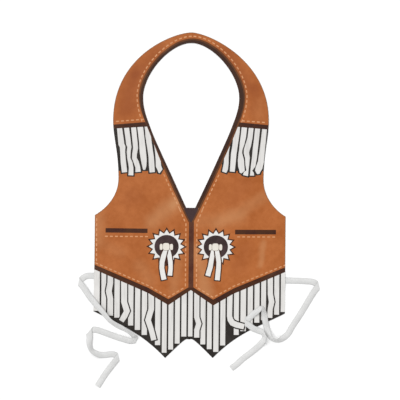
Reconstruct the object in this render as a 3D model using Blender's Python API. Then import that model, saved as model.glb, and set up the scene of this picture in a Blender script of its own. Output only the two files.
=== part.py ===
"""A western costume vest laid flat, print side up.

One die-cut sheet of flexible film makes both fronts and the neck loop. Two flat tapes, fixed under its side
edges, tie it round the waist. The origin is under the middle of the sheet, +Y points to the neck loop and
+Z up. The tables are in millimetres and the meshes in metres.
"""

from collections import namedtuple
from math import atan2, ceil, cos, hypot, pi, radians, sin

import bmesh
import bpy
from mathutils import Vector
from mathutils.bvhtree import BVHTree
from mathutils.geometry import delaunay_2d_cdt
from mathutils.kdtree import KDTree

MM = 0.001

# Walls and clearances
FILM = 1.2
TAPE_WIDTH = 10.5
TAPE_WALL = 1.0
GAP = 0.3
FLOOR_GAP = 0.1
FOLD_RADIUS = 0.75

# How finely the pieces are divided
EDGE_STEP = 7.0
GRID_STEP = 15.0
RISE_STEP = 4.0
TAPE_STEP = 4.0
FOLD_STEPS = 5

# The right half of the sheet's outer edge, down from the back of the neck. Headings are in degrees and pulls
# are the lengths of the curve's handles, before and after each knot. No pull means a straight run.
Knot = namedtuple("Knot", "x y heading_in heading_out pull_in pull_out")
OUTER_EDGE = [
    Knot(0.0, 305.0, 0, 0, 0, 33),
    Knot(146.0, 140.0, -90, -90, 118, 33),
    Knot(134.9, 30.0, -90, -90, 51, 32),
    Knot(178.5, -39.0, -30, -90, 26, 0),
    Knot(178.0, -219.0, -90, 207, 0, 54),
    Knot(44.6, -305.0, 227, 135, 67, 60),
    Knot(0.0, -269.5, 180, 180, 6.5, 0),
]
NECK_EDGE = [
    Knot(0.0, 285.0, 0, 0, 0, 40),
    Knot(91.8, 183.0, -90, -90, 42, 23),
    Knot(74.5, 121.0, -111, -112, 20, 25),
    Knot(8.5, -24.0, -115, -90, 25, 0),
    Knot(0.0, -24.0, 180, 180, 0, 0),
]

# Each tape's way, seen from above. A run is a list of points that a smooth curve follows, and the tape is
# folded over flat where one run ends and the next begins. The first run starts under the sheet.
LEFT_RUNS = [
    [(-160, -155), (-174, -154), (-185, -153), (-194, -154), (-207, -163)],
    [
        (-207, -163), (-198, -176), (-187, -192), (-177, -206), (-168, -218), (-156, -229),
        (-143, -239), (-128, -248), (-114, -256), (-105, -264), (-99, -272),
    ],
    [(-99, -272), (-111, -275), (-120, -273), (-130, -270), (-148, -263), (-167, -256), (-177, -254), (-186, -256)],
    [
        (-186, -256), (-187, -268), (-187, -280), (-183, -292), (-176, -298), (-167, -302),
        (-157, -302), (-148, -300), (-141, -300), (-133, -304),
    ],
    [(-133, -304), (-144, -320), (-157, -339), (-170, -361)],
]
RIGHT_RUNS = [
    [(162, -157), (179, -158), (198, -158), (217, -159), (232, -161), (241, -166)],
    [
        (241, -166), (234, -177), (223, -195), (208, -221), (193, -246), (185, -259), (176, -267),
        (167, -271), (158, -269), (151, -261), (147, -249), (143, -237), (140, -224), (136, -208),
    ],
    [(136, -208), (121, -222), (105, -237)],
    [
        (105, -237), (112, -243), (120, -249), (128, -253), (136, -257), (141, -264), (140, -272),
        (135, -280), (127, -288), (115, -298), (103, -307), (91, -318), (81, -326),
    ],
]

# Where a tape turns sharply without a fold it stands up on one edge: the run, the run's point at the middle of
# the turn, the tilt in degrees and the length over which it comes and goes.
Curl = namedtuple("Curl", "run point tilt spread")
LEFT_CURLS = [Curl(3, 3, 50, 26)]
RIGHT_CURLS = [Curl(1, 7, 50, 30), Curl(3, 5, 45, 18)]

# The sheet rises over the tape's end under it, and comes down again round it.
RISE = FLOOR_GAP + TAPE_WALL + GAP
RISE_MARGIN = 2.0
RISE_SLOPE = 14.0

# Laying a tape over what is below it
FOLD_BLEND = 11.0
EASE_PASSES = 30
UNDER_REACH = 5.0
EDGE_MARGIN = 1.5

Row = namedtuple("Row", "run x y ruling reach tilt bend away side")


def smooth(t):
    t = min(max(t, 0.0), 1.0)
    return t * t * (3 - 2 * t)


def unit(x, y):
    length = hypot(x, y)
    return x / length, y / length


def edge_curve(knots):
    """Points down one half of an edge, evenly placed along each stretch between two knots"""
    points = [(knots[0].x, knots[0].y)]
    for a, b in zip(knots, knots[1:]):
        out, back = radians(a.heading_out), radians(b.heading_in)
        handle_a = a.x + a.pull_out * cos(out), a.y + a.pull_out * sin(out)
        handle_b = b.x - b.pull_in * cos(back), b.y - b.pull_in * sin(back)
        steps = max(1, ceil(hypot(b.x - a.x, b.y - a.y) / EDGE_STEP))
        if a.pull_out == 0 and b.pull_in == 0:
            handle_a = a.x + (b.x - a.x) / 3, a.y + (b.y - a.y) / 3
            handle_b = b.x - (b.x - a.x) / 3, b.y - (b.y - a.y) / 3
        for i in range(1, steps + 1):
            t = i / steps
            weights = (1 - t) ** 3, 3 * (1 - t) ** 2 * t, 3 * (1 - t) * t * t, t**3
            corners = (a.x, a.y), handle_a, handle_b, (b.x, b.y)
            points.append(tuple(sum(w * c[k] for w, c in zip(weights, corners)) for k in (0, 1)))
    return points


def whole_edge(knots):
    """The closed edge: one half and its mirror image across the middle"""
    half = edge_curve(knots)
    return half + [(-x, y) for x, y in reversed(half[1:-1])]


def inside(x, y, loop):
    hits = False
    for (ax, ay), (bx, by) in zip(loop, loop[1:] + loop[:1]):
        if (ay > y) != (by > y) and x < ax + (y - ay) * (bx - ax) / (by - ay):
            hits = not hits
    return hits


def distance(x, y, ax, ay, bx, by):
    """How far a point is from the stretch between two others"""
    dx, dy = bx - ax, by - ay
    t = ((x - ax) * dx + (y - ay) * dy) / (dx * dx + dy * dy)
    t = min(max(t, 0.0), 1.0)
    return hypot(x - ax - t * dx, y - ay - t * dy)


def edge_distance(x, y, loop):
    return min(distance(x, y, *a, *b) for a, b in zip(loop, loop[1:] + loop[:1]))


def rise(x, y):
    """How high the sheet's underside stands, over the tapes' ends"""
    highest = 0.0
    for runs in (LEFT_RUNS, RIGHT_RUNS):
        far = distance(x, y, *runs[0][0], *runs[0][2]) - TAPE_WIDTH / 2 - RISE_MARGIN
        highest = max(highest, RISE * smooth(1 - far / RISE_SLOPE))
    return highest


def panel_mesh():
    """The sheet's triangles seen from above: its points, and three of them for each triangle"""
    outer, neck = whole_edge(OUTER_EDGE), whole_edge(NECK_EDGE)
    points = outer + neck
    edges = [(i, (i + 1) % len(outer)) for i in range(len(outer))]
    edges += [(len(outer) + i, len(outer) + (i + 1) % len(neck)) for i in range(len(neck))]

    def fill(step, wanted):
        across, up = int(200 / step), int(310 / step)
        for i in range(-across, across + 1):
            for j in range(-up, up + 1):
                x, y = (i + 0.5 * (j % 2)) * step, j * step
                if wanted(x, y) and inside(x, y, outer) and not inside(x, y, neck):
                    if edge_distance(x, y, outer) > step / 2 and edge_distance(x, y, neck) > step / 2:
                        points.append((x, y))

    fill(GRID_STEP, lambda x, y: rise(x, y) == 0)
    fill(RISE_STEP, lambda x, y: rise(x, y) > 0)
    flat = delaunay_2d_cdt([Vector(p) for p in points], edges, [], 0, 1e-4)
    spots, triangles = [tuple(v) for v in flat[0]], []
    for a, b, c in flat[2]:
        x = (spots[a][0] + spots[b][0] + spots[c][0]) / 3
        y = (spots[a][1] + spots[b][1] + spots[c][1]) / 3
        if inside(x, y, outer) and not inside(x, y, neck):
            triangles.append((a, b, c))
    return spots, triangles


def panel_solid():
    """The sheet as a wall: the same triangles above and below, and a strip round each edge"""
    spots, triangles = panel_mesh()
    count = len(spots)
    below = [(x, y, rise(x, y)) for x, y in spots]
    above = [(x, y, z + FILM) for x, y, z in below]
    faces = [(a + count, b + count, c + count) for a, b, c in triangles]
    faces += [(c, b, a) for a, b, c in triangles]
    sides = {(a, b) for t in triangles for a, b in zip(t, t[1:] + t[:1])}
    faces += [(a, b, b + count, a + count) for a, b in sorted(sides) if (b, a) not in sides]
    return below + above, faces


def smooth_path(points, step):
    """Points about a step apart on a smooth curve through the given ones"""
    ways = [unit(bx - ax, by - ay) for (ax, ay), (bx, by) in zip(points, points[1:])]
    headings = [ways[0]] + [unit(a[0] + b[0], a[1] + b[1]) for a, b in zip(ways, ways[1:])] + [ways[-1]]
    path, marks = [points[0]], [0]
    for (ax, ay), (bx, by), start, end in zip(points, points[1:], headings, headings[1:]):
        chord = hypot(bx - ax, by - ay)
        steps = max(1, round(chord / step))
        for i in range(1, steps + 1):
            t = i / steps
            from_a, from_b = (1 + 2 * t) * (1 - t) ** 2, t * t * (3 - 2 * t)
            off_a, off_b = t * (1 - t) ** 2 * chord, t * t * (t - 1) * chord
            path.append(
                (
                    from_a * ax + from_b * bx + off_a * start[0] + off_b * end[0],
                    from_a * ay + from_b * by + off_a * start[1] + off_b * end[1],
                )
            )
        marks.append(len(path) - 1)
    return path, marks


def tape_rows(runs, curls):
    """The lines across the tape, from its fixed end to its free end, as it lies seen from above"""
    rows, side, start, fold_in = [], 1, runs[0][0], None
    for k, run in enumerate(runs):
        path, marks = smooth_path([start] + run[1:], TAPE_STEP)
        lengths = [0.0]
        for a, b in zip(path, path[1:]):
            lengths.append(lengths[-1] + hypot(b[0] - a[0], b[1] - a[1]))
        last = len(path) - 1
        fold_out = None
        if k + 1 < len(runs):
            came = unit(path[-1][0] - path[-2][0], path[-1][1] - path[-2][1])
            leaves = unit(runs[k + 1][1][0] - run[-1][0], runs[k + 1][1][1] - run[-1][1])
            fold_out = unit(came[0] + leaves[0], came[1] + leaves[1])
        for i, (x, y) in enumerate(path):
            before, after = path[max(i - 1, 0)], path[min(i + 1, last)]
            tx, ty = unit(after[0] - before[0], after[1] - before[1])
            square = -ty * side, tx * side
            ruling = square
            for line, far in ((fold_in, lengths[i]), (fold_out, lengths[-1] - lengths[i])):
                if line:
                    sign = 1 if line[0] * square[0] + line[1] * square[1] > 0 else -1
                    part = smooth(1 - far / FOLD_BLEND)
                    ruling = unit(
                        ruling[0] * (1 - part) + sign * line[0] * part,
                        ruling[1] * (1 - part) + sign * line[1] * part,
                    )
            reach = TAPE_WIDTH / 2 / abs(tx * ruling[1] - ty * ruling[0])
            tilt = 0.0
            for curl in curls:
                if curl.run == k:
                    away = abs(lengths[i] - lengths[marks[curl.point]])
                    tilt += radians(curl.tilt) * smooth(1 - away / curl.spread)
            rows.append(Row(k, x, y, ruling, reach, tilt, 0.0, (0.0, 0.0), side))
        if fold_out:
            along = came[0] * fold_out[0] + came[1] * fold_out[1]
            away = unit(came[0] - along * fold_out[0], came[1] - along * fold_out[1])
            slide = FOLD_RADIUS * along / (came[0] * away[0] + came[1] * away[1])
            last_row, (x, y) = rows[-1], path[-1]
            for step in range(1, FOLD_STEPS):
                bend = pi * step / FOLD_STEPS
                out = FOLD_RADIUS * sin(bend)
                rows.append(
                    last_row._replace(
                        x=x + slide * bend * fold_out[0] + out * away[0],
                        y=y + slide * bend * fold_out[1] + out * away[1],
                        bend=bend,
                        away=away,
                    )
                )
            start = x + slide * pi * fold_out[0], y + slide * pi * fold_out[1]
            fold_in, side = fold_out, -side
    return rows


ACROSS = (-1, 0, 1)


def spots_of(row):
    """The places across the tape on one row, seen from above"""
    reach = row.reach * cos(row.tilt)
    return [(row.x + j * reach * row.ruling[0], row.y + j * reach * row.ruling[1]) for j in ACROSS]


def ground_height(tree, x, y):
    """The middle of a tape that lies at this place, on the floor or on the sheet"""
    height = FLOOR_GAP
    for dx, dy in ((0, 0), (EDGE_MARGIN, 0), (-EDGE_MARGIN, 0), (0, EDGE_MARGIN), (0, -EDGE_MARGIN)):
        hit = tree.ray_cast(Vector((x + dx, y + dy, 100.0)), Vector((0, 0, -1)))[0]
        if hit:
            height = max(height, hit.z + GAP)
    return height + TAPE_WALL / 2


def tape_heights(rows, tree):
    """The height of the tape's middle at each place of each row: each run lies on what is under it"""
    heights, laid, first = [], [], 0
    while first < len(rows):
        run = rows[first].run
        flat = [i for i in range(first, len(rows)) if rows[i].run == run and rows[i].bend == 0]
        below = KDTree(len(laid))
        for index, place in enumerate(laid):
            below.insert((place[0], place[1], 0.0), index)
        below.balance()
        support = []
        for i in flat:
            line = []
            for x, y in spots_of(rows[i]):
                rest = FLOOR_GAP + TAPE_WALL / 2 if run == 0 else ground_height(tree, x, y)
                for _, index, _ in below.find_range((x, y, 0.0), UNDER_REACH):
                    rest = max(rest, laid[index][2] + TAPE_WALL + GAP)
                line.append(rest)
            support.append(line)
        eased = [list(line) for line in support]
        if heights:
            eased[0] = [z + 2 * FOLD_RADIUS for z in fold_base]
        for _ in range(EASE_PASSES):
            for i in range(1, len(flat)):
                after = min(i + 1, len(flat) - 1)
                for j in range(len(ACROSS)):
                    mean = (eased[i - 1][j] + eased[after][j]) / 2
                    eased[i][j] = max(support[i][j], mean)
        for i, line in zip(flat, eased):
            lift = TAPE_WIDTH / 2 * sin(rows[i].tilt)
            heights.append([z + lift * (1 + j) for z, j in zip(line, ACROSS)])
            laid += [(x, y, z) for (x, y), z in zip(spots_of(rows[i]), heights[-1])]
        first = flat[-1] + 1
        fold_base = heights[-1]
        while first < len(rows) and rows[first].run == run:
            lift = FOLD_RADIUS * (1 - cos(rows[first].bend))
            heights.append([z + lift for z in fold_base])
            first += 1
    return heights


def tape_solid(runs, curls, tree):
    """The tape as a wall of even thickness about its middle"""
    rows = tape_rows(runs, curls)
    points, faces = [], []
    for row, heights in zip(rows, tape_heights(rows, tree)):
        flat_part, edge_part = sin(row.bend), sin(row.tilt)
        normal = Vector(
            (
                -flat_part * row.away[0] - edge_part * row.ruling[0],
                -flat_part * row.away[1] - edge_part * row.ruling[1],
                cos(row.bend) * cos(row.tilt),
            )
        )
        middle = [Vector((x, y, z)) for (x, y), z in zip(spots_of(row), heights)]
        wall = normal * row.side * TAPE_WALL / 2
        points += [tuple(p + wall) for p in middle] + [tuple(p - wall) for p in reversed(middle)]
    ring = 2 * len(ACROSS)
    for i in range(len(rows) - 1):
        for j in range(ring):
            a, b = i * ring + j, i * ring + (j + 1) % ring
            faces.append((a, b, b + ring, a + ring))
    faces.append(tuple(reversed(range(ring))))
    faces.append(tuple(range(len(points) - ring, len(points))))
    return points, faces


def finish(colour, roughness, name):
    """A material of one even finish"""
    material = bpy.data.materials.new(name)
    material.use_nodes = True
    shader = material.node_tree.nodes["Principled BSDF"]
    shader.inputs["Base Color"].default_value = (*colour, 1.0)
    shader.inputs["Roughness"].default_value = roughness
    shader.inputs["Metallic"].default_value = 0.0
    return material


def add_piece(name, points, faces, material):
    """A named object from points in millimetres, with its faces turned outwards"""
    mesh = bpy.data.meshes.new(name)
    mesh.from_pydata([(x * MM, y * MM, z * MM) for x, y, z in points], [], faces)
    shape = bmesh.new()
    shape.from_mesh(mesh)
    bmesh.ops.recalc_face_normals(shape, faces=shape.faces)
    if shape.calc_volume(signed=True) < 0:
        bmesh.ops.reverse_faces(shape, faces=shape.faces)
    shape.to_mesh(mesh)
    shape.free()
    mesh.materials.append(material)
    piece = bpy.data.objects.new(name, mesh)
    bpy.context.scene.collection.objects.link(piece)
    return piece


def main():
    for old in list(bpy.data.objects):
        bpy.data.objects.remove(old, do_unlink=True)
    film = finish((0.46, 0.14, 0.045), 0.45, "printed film")
    tape = finish((0.78, 0.78, 0.77), 0.8, "white tape")
    points, faces = panel_solid()
    tree = BVHTree.FromPolygons([Vector(p) for p in points], faces)
    add_piece("vest_panel", points, faces, film)
    add_piece("tie_left", *tape_solid(LEFT_RUNS, LEFT_CURLS, tree), tape)
    add_piece("tie_right", *tape_solid(RIGHT_RUNS, RIGHT_CURLS, tree), tape)


main()
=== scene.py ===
"""A printed western costume vest, lying flat on a studio floor, print side up.

The vest is one die-cut sheet of film, and a flat woven tape is fixed under each of its side edges. The print
is laid out here as flat shapes, one painted over another, and the sheet's faces are divided along their
outlines. The tables are in millimetres. The print's own middle lies a little to the right of the sheet's.
"""

from collections import namedtuple
from functools import partial
from itertools import groupby
from math import ceil, copysign, cos, hypot, pi, radians, sin

import bmesh
import bpy
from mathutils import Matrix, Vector
from mathutils.bvhtree import BVHTree
from mathutils.geometry import delaunay_2d_cdt
from mathutils.kdtree import KDTree


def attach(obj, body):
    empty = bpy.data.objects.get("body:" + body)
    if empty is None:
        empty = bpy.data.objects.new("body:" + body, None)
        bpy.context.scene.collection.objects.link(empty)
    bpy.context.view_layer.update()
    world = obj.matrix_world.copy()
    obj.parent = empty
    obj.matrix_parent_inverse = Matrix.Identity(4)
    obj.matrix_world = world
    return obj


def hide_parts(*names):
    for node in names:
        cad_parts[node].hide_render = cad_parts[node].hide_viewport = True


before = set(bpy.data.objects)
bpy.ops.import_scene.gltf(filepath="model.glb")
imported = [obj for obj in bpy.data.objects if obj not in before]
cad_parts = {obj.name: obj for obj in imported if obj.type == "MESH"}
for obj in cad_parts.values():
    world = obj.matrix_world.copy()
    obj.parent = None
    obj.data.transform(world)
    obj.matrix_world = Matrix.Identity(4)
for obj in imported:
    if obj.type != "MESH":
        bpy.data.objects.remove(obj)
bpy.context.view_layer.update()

MM = 0.001

# The camera looks straight down, turned by the little that the vest lies askew in the picture. The view and
# the floor are in metres. Turns, spreads and tilts are in degrees everywhere.
LENS = 85.0
SENSOR = 36.0
VIEW_WIDTH = 0.7508
VIEW_MIDDLE = (0.0183, -0.0092)
VIEW_TURN = 0.5
VIEW_NEAR = 0.01
FLOOR_SIZE = 6.0
FLOOR_WHITE = (0.95, 0.95, 0.95, 1.0)

# A white sky and one broad, soft sun. A face that looks up shows BRIGHTNESS times its colour, and GLOSS more
# from its sheen.
SKY_STRENGTH = 0.656
KEY_POWER = 1.8
KEY_SPREAD = 60.0
KEY_PLACE = (-1.0, 1.0, 2.0)
BRIGHTNESS = 1.12
GLOSS = 0.018
DARKEST = 0.002

# The sheet's flat size, in metres, and the walls and clearances
FILM = 0.5
FILM_LIFT = 0.1
TAPE_WIDTH = 11.3
TAPE_WALL = 0.6
TAPE_LIP = 0.5
TAPE_ARCH = 1.4
ARCH_START = 45.0
GAP = 0.3
FLOOR_GAP = 0.1
FOLD_RADIUS = 0.55

# How finely the pieces are divided
EDGE_STEP = 3.0
GRID_STEP = 5.0
TAPE_STEP = 2.0
FOLD_STEPS = 8
GRID_REACH = (200, 310)
SAME_POINT = 0.0001
DISC_SIDES = 48
BOW_SIDES = 16
SMOOTH_ANGLE = radians(35)

# The halves of the sheet's outer edge, down from the back of the neck, both as if they were on the right. The
# cut is even, and the two differ by how the sheet lies. Headings are in degrees and pulls are the lengths of
# the curve's handles, before and after each knot. No pull means a straight run.
Knot = namedtuple("Knot", "x y heading_in heading_out pull_in pull_out")
RIGHT_EDGE = [
    Knot(0.0, 305.0, 0, 0, 0, 28),
    Knot(146.0, 140.0, -90, -90, 117, 33),
    Knot(137.0, 30.0, -90, -90, 51, 30),
    Knot(179.3, -39.0, -30, -90, 26, 0),
    Knot(179.2, -220.8, -90, 207.4, 0, 54),
    Knot(44.6, -305.4, 226, 135, 67, 60),
    Knot(0.0, -270.7, 180, 180, 6.5, 0),
]
LEFT_EDGE = [
    Knot(0.0, 305.0, 0, 0, 0, 33),
    Knot(146.0, 140.0, -90, -90, 122, 33),
    Knot(135.1, 30.0, -90, -90, 51, 32),
    Knot(178.7, -39.0, -30, -90, 26, 0),
    Knot(178.8, -136.0, -90, -92, 0, 0),
    Knot(180.0, -219.4, -90, 205.6, 0, 54),
    Knot(44.6, -306.2, 226, 135, 67, 60),
    Knot(0.0, -270.7, 180, 180, 6.5, 0),
]
NECK_EDGE = [
    Knot(0.0, 285.0, 0, 0, 0, 40),
    Knot(91.8, 183.0, -90, -90, 42, 23),
    Knot(74.5, 121.0, -111, -112, 20, 25),
    Knot(8.5, -24.0, -115, -90, 25, 0),
    Knot(0.0, -24.0, 180, 180, 0, 0),
]

# How the neck's edge lies, against its cut: drawn in at its sides, and leaning to the right at its foot
NECK_DRAW = 0.018
NECK_MIDDLE = 190.0
NECK_REACH = 100.0
NECK_LEAN = 0.9
LEAN_TOP = 120.0
LEAN_REACH = 100.0

# Each tape's way, seen from above. A run is a list of points that a smooth curve follows, and the tape is
# folded over flat where one run ends and the next begins. The first run starts under the sheet.
LEFT_RUNS = [
    [(-160, -155), (-174, -154), (-185, -153), (-194, -154), (-207, -163)],
    [
        (-207, -163), (-198, -176), (-187.8, -191), (-180.9, -199.4), (-172.4, -209.4), (-158, -225),
        (-148.9, -235.7), (-134.9, -245.4), (-122.6, -251.6), (-111, -258.9), (-103.4, -265.4), (-99, -272),
    ],
    [
        (-99, -272), (-111, -274.4), (-120, -272.1), (-130, -269.4), (-148, -263.4), (-167, -256.6),
        (-177, -254.2), (-186, -256),
    ],
    [
        (-186, -256), (-186.5, -268), (-186.4, -280), (-182.5, -291.6), (-175.6, -297.2),
        (-166.8, -301.2), (-157, -301.5), (-148, -300.2), (-141, -300.3), (-133, -304),
    ],
    [(-133, -304), (-143.6, -320.2), (-157.2, -338.6), (-170.8, -360.4)],
]
RIGHT_RUNS = [
    [(162, -157), (179, -158.6), (198, -159), (217, -159.8), (232, -161.3), (241.4, -166.4)],
    [
        (241.4, -166.4), (234.8, -177.6), (224, -195.6), (208.8, -221.4), (193, -246), (185.2, -259.2),
        (176.2, -267), (166.6, -271.2), (157, -269.8), (150, -261.8), (146, -249.6), (142.6, -235),
        (140.2, -221), (138.6, -213.4), (135.2, -209.6), (130.6, -213.2), (120.4, -222.4), (105, -237),
    ],
    [
        (105, -237), (112, -243), (120, -248.8), (128.4, -252.4), (136.8, -256.6), (140.6, -263.6),
        (139, -271.8), (133.7, -279.1), (125.6, -286.9), (113.8, -296.7), (102, -305.8), (90, -316.8),
        (79.7, -324.7),
    ],
]

# Where a tape turns sharply without a fold it stands up on one edge: the run, the run's point at the middle
# of the turn, the tilt, and the length over which it comes and goes. The tilt's sign says which edge.
Curl = namedtuple("Curl", "run point tilt spread")
LEFT_CURLS = [Curl(1, 9, -46, 26), Curl(1, 6, -38, 58), Curl(3, 3, 50, 26)]
RIGHT_CURLS = [Curl(1, 8, 56, 28), Curl(1, 14, -54, 22), Curl(2, 5, 57, 18)]

# The sheet rises over the tape's end under it, and is nowhere quite flat.
RISE = 1.4
RISE_MARGIN = 2.0
RISE_SLOPE = 14.0
WAVE = 0.9
BROAD_WAVE = (43, 61)
ASKEW_WAVE = (29, 77)

# Laying a tape over what is below it. ACROSS is where its points are, from one side to the other.
FOLD_BLEND = 11.0
EASE_PASSES = 110
UNDER_REACH = 2.6
EDGE_MARGIN = 1.5
ABOVE_ALL = 100.0
ACROSS = (-1.0, -0.88, -0.45, 0.0, 0.45, 0.88, 1.0)

# The print's own middle, the darker line along the sheet's edge round it, and its stitches
PRINT_SHIFT = 2.6
EDGE_LINE = 1.3
STITCH_PITCH = 9.4
STITCH = 5.4
STITCH_WIDTH = 2.1

# The neck's lining, binding and seam, as distances out from its edge, and the small overlap of their halves
NECK_SHIFT = 1.7
LINING_INNER = -4.0
LINING_OUTER = 5.6
BINDING = 8.9
NECK_SEAM = 12.9
HALVES_OVERLAP = 0.3

# Where these lines come nearer to the edge: by how much, at which height and over what reach
Dip = namedtuple("Dip", "depth height reach")
NO_DIP = Dip(0.0, 0.0, 1.0)
SEAM_DIP = Dip(1.8, 168.0, 75.0)
RIGHT_DIP = Dip(0.8, 150.0, 80.0)
LEFT_DIP = Dip(2.6, 125.0, 85.0)

# The front's placket, the small vee over its top, and the seams on both sides of it
PLACKET = 4.7
PLACKET_HEAD = -40.0
PLACKET_TOP = -51.0
PLACKET_FOOT = -174.0
VEE_TOP = -22.0
VEE_POINT = 1.5
FRONT_SEAM = 10.3
FRONT_SEAM_TOP = -54
FRONT_SEAM_FOOT = -173

# The hem's band, as heights of its top and its foot at the middle, the points and the sides
HEM_X = (0.0, 42.0, 80.0, 190.0)
HEM_TOP = (-170.4, -195.8, -174.6, -128.4)
HEM_FOOT = (-178.4, -207.0, -184.6, -137.2)
HEM_SEAM_UP = 4.1
HEM_SEAM_START = 11.5

# The hem's fringe fills the sheet below the band. It has strips from side to side, cut square a little above
# the sheet's lower edge, with a dark line between two of them. FOOT_OFF is how much higher than that the foot
# of a strip is, by the strip's number from the left.
FRINGE_CORNERS = [(200, -320), (-200, -320)]
STRIP_SIDES = [
    -169.4, -157.3, -144.7, -131.7, -118.7, -106.0, -93.2, -80.3, -68.0, -55.1, -43.1, -30.9, -18.7, -6.2,
    5.2, 17.1, 29.4, 41.4, 54.2, 66.8, 79.7, 92.0, 105.3, 118.0, 130.5, 142.7, 155.0, 167.3,
]
WIDEST = 189.0
STRIP_MARGIN = 4.8
STRIP_LINE = 2.4
STRIP_GAP = 3.1
STRIP_TRIM = 0.25
SIDE_FOOT = -219.0
FOOT_WINDOW = 0.2
FOOT_OFF = {
    0: -4.1, 1: -0.7, 3: 1.9, 5: 1.6, 6: 0.7, 7: -0.5, 12: -3.8, 18: -3.5, 19: -2.6, 21: -1.1, 22: -2.8,
    24: 0.3, 25: 0.4, 27: -1.6, 28: -1.8,
}

# A few strips are drawn with a kink, over their neighbours: middles and widths from the top down. The first
# middle has no height, because it is under the band.
KINKED_STRIPS = {
    2: [
        (-151.1, None, 10.1), (-151.1, -165.5, 10.5), (-153.9, -181.5, 11.1), (-150.9, -196.0, 10.5),
        (-151.0, -227.5, 10.9),
    ],
    4: [
        (-125.3, None, 11.3), (-124.9, -201.9, 11.1), (-119.5, -218.8, 11.6), (-124.1, -228.2, 10.9),
        (-130.0, -237.6, 9.4),
    ],
    8: [
        (-74.3, None, 10.9), (-73.9, -214.6, 10.5), (-79.9, -235.3, 10.9), (-73.4, -254.0, 9.8),
        (-68.5, -272.7, 10.1),
    ],
    15: [
        (11.2, None, 9.7), (11.5, -228.9, 9.7), (15.4, -241.4, 10.1), (11.8, -253.3, 9.8),
        (11.8, -267.3, 9.8),
    ],
    20: [
        (73.4, None, 10.2), (73.0, -226.5, 9.6), (74.5, -233.0, 10.6), (78.1, -239.0, 11.2),
        (85.7, -242.6, 10.8), (94.6, -244.8, 10.4), (100.4, -246.2, 10.0),
    ],
    26: [
        (148.8, None, 9.8), (149.2, -184.5, 9.8), (151.7, -199.5, 10.5), (149.2, -212.7, 9.4),
        (148.4, -229.2, 9.8),
    ],
}

# The shoulders' fringes: middles and widths of each strip from the top down, the dark grounds that they lie
# on, the dark bands over their tops, and the seams over those
SHOULDER_STRIPS = [
    [
        (-136.8, 127.4, 9.8), (-133.4, 100.2, 11.4), (-132.8, 94.6, 11.4), (-130.3, 89.0, 11.1),
        (-130.2, 79.6, 9.8), (-128.7, 60.8, 10.5), (-126.3, 41.5, 10.3),
    ],
    [
        (-123.7, 128.1, 9.8), (-119.8, 100.3, 9.8), (-119.2, 94.7, 9.8), (-117.7, 89.1, 8.3),
        (-118.9, 79.7, 7.9), (-118.6, 68.4, 6.4), (-115.5, 59.1, 8.6), (-114.0, 49.7, 9.0),
        (-114.4, 36.0, 9.8),
    ],
    [
        (-110.5, 128.9, 9.8), (-107.1, 98.6, 9.8), (-106.0, 87.3, 9.8), (-107.8, 76.0, 9.4),
        (-108.1, 68.5, 9.4), (-104.7, 61.0, 10.1), (-101.6, 51.7, 9.4), (-100.8, 42.5, 10.5),
    ],
    [
        (-98.1, 130.0, 11.3), (-94.1, 98.7, 11.3), (-92.3, 79.9, 12.4), (-90.3, 64.9, 11.3),
        (-89.4, 53.7, 8.4), (-89.5, 46.5, 4.5),
    ],
    [
        (-86.9, 131.6, 6.6), (-84.2, 119.4, 9.0), (-82.6, 110.0, 10.9), (-81.0, 98.8, 10.5),
        (-78.6, 83.8, 10.1), (-76.6, 70.7, 10.5), (-75.5, 53.8, 10.9), (-74.3, 42.0, 10.3),
    ],
    [
        (-70.5, 106.0, 6.0), (-68.2, 96.1, 7.5), (-66.4, 85.8, 7.9), (-65.0, 76.4, 8.7),
        (-63.4, 65.2, 9.8), (-62.8, 53.9, 10.5), (-59.9, 47.4, 10.1), (-61.3, 40.8, 2.8),
    ],
    [
        (71.3, 96.0, 1.1), (67.2, 83.2, 4.9), (64.5, 71.9, 9.0), (64.3, 60.6, 9.4), (62.7, 49.4, 10.5),
        (60.7, 43.3, 8.6),
    ],
    [
        (87.7, 132.6, 4.9), (84.4, 119.0, 9.8), (82.2, 107.7, 11.3), (80.5, 92.7, 10.5),
        (78.2, 77.7, 10.9), (77.2, 62.6, 10.5), (75.7, 44.4, 9.8),
    ],
    [
        (98.2, 131.3, 10.7), (95.9, 109.7, 10.7), (93.6, 96.6, 9.4), (91.3, 85.3, 6.4), (90.6, 79.6, 7.1),
        (91.8, 66.5, 12.0), (92.5, 55.3, 12.2), (94.0, 46.8, 10.9), (91.3, 42.1, 4.1),
    ],
    [
        (110.9, 130.5, 9.4), (108.5, 108.0, 9.8), (105.4, 94.8, 11.3), (102.5, 85.4, 11.3),
        (102.0, 79.7, 10.5), (104.0, 70.4, 9.4), (103.9, 57.2, 7.5), (104.2, 46.9, 4.5),
        (101.6, 42.2, 9.4), (100.5, 37.3, 10.1),
    ],
    [
        (123.0, 129.9, 9.8), (120.7, 106.2, 9.8), (118.6, 87.4, 10.1), (117.1, 70.5, 9.8),
        (114.8, 55.5, 9.0), (111.5, 47.0, 4.1), (112.8, 42.3, 7.5), (112.9, 37.4, 8.6),
    ],
    [
        (135.9, 128.5, 9.4), (133.5, 102.5, 9.8), (131.3, 81.9, 10.5), (129.2, 63.1, 11.6),
        (125.9, 51.8, 13.1), (123.7, 46.2, 11.3), (124.5, 40.5, 4.7),
    ],
]
SHOULDER_GROUNDS = [
    [(-155, 128), (-83, 132.6), (-50.7, 69), (-53.4, 50.3), (-57.9, 44.6), (-155, 43.9)],
    [(82, 134), (155, 129), (155, 57.6), (135.4, 46.2), (60.3, 45.6), (56.4, 55), (54.5, 70)],
]
SHOULDER_BANDS = [
    [(-155, 130.2), (-80, 136.8), (-76, 128.3), (-155, 122.8)],
    [(78, 138.0), (155, 131.2), (155, 123.0), (80, 129.1)],
]
SHOULDER_SEAMS = [[(-145, 136.6), (-87, 141.6)], [(91, 140.2), (140, 137.0)]]

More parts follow.
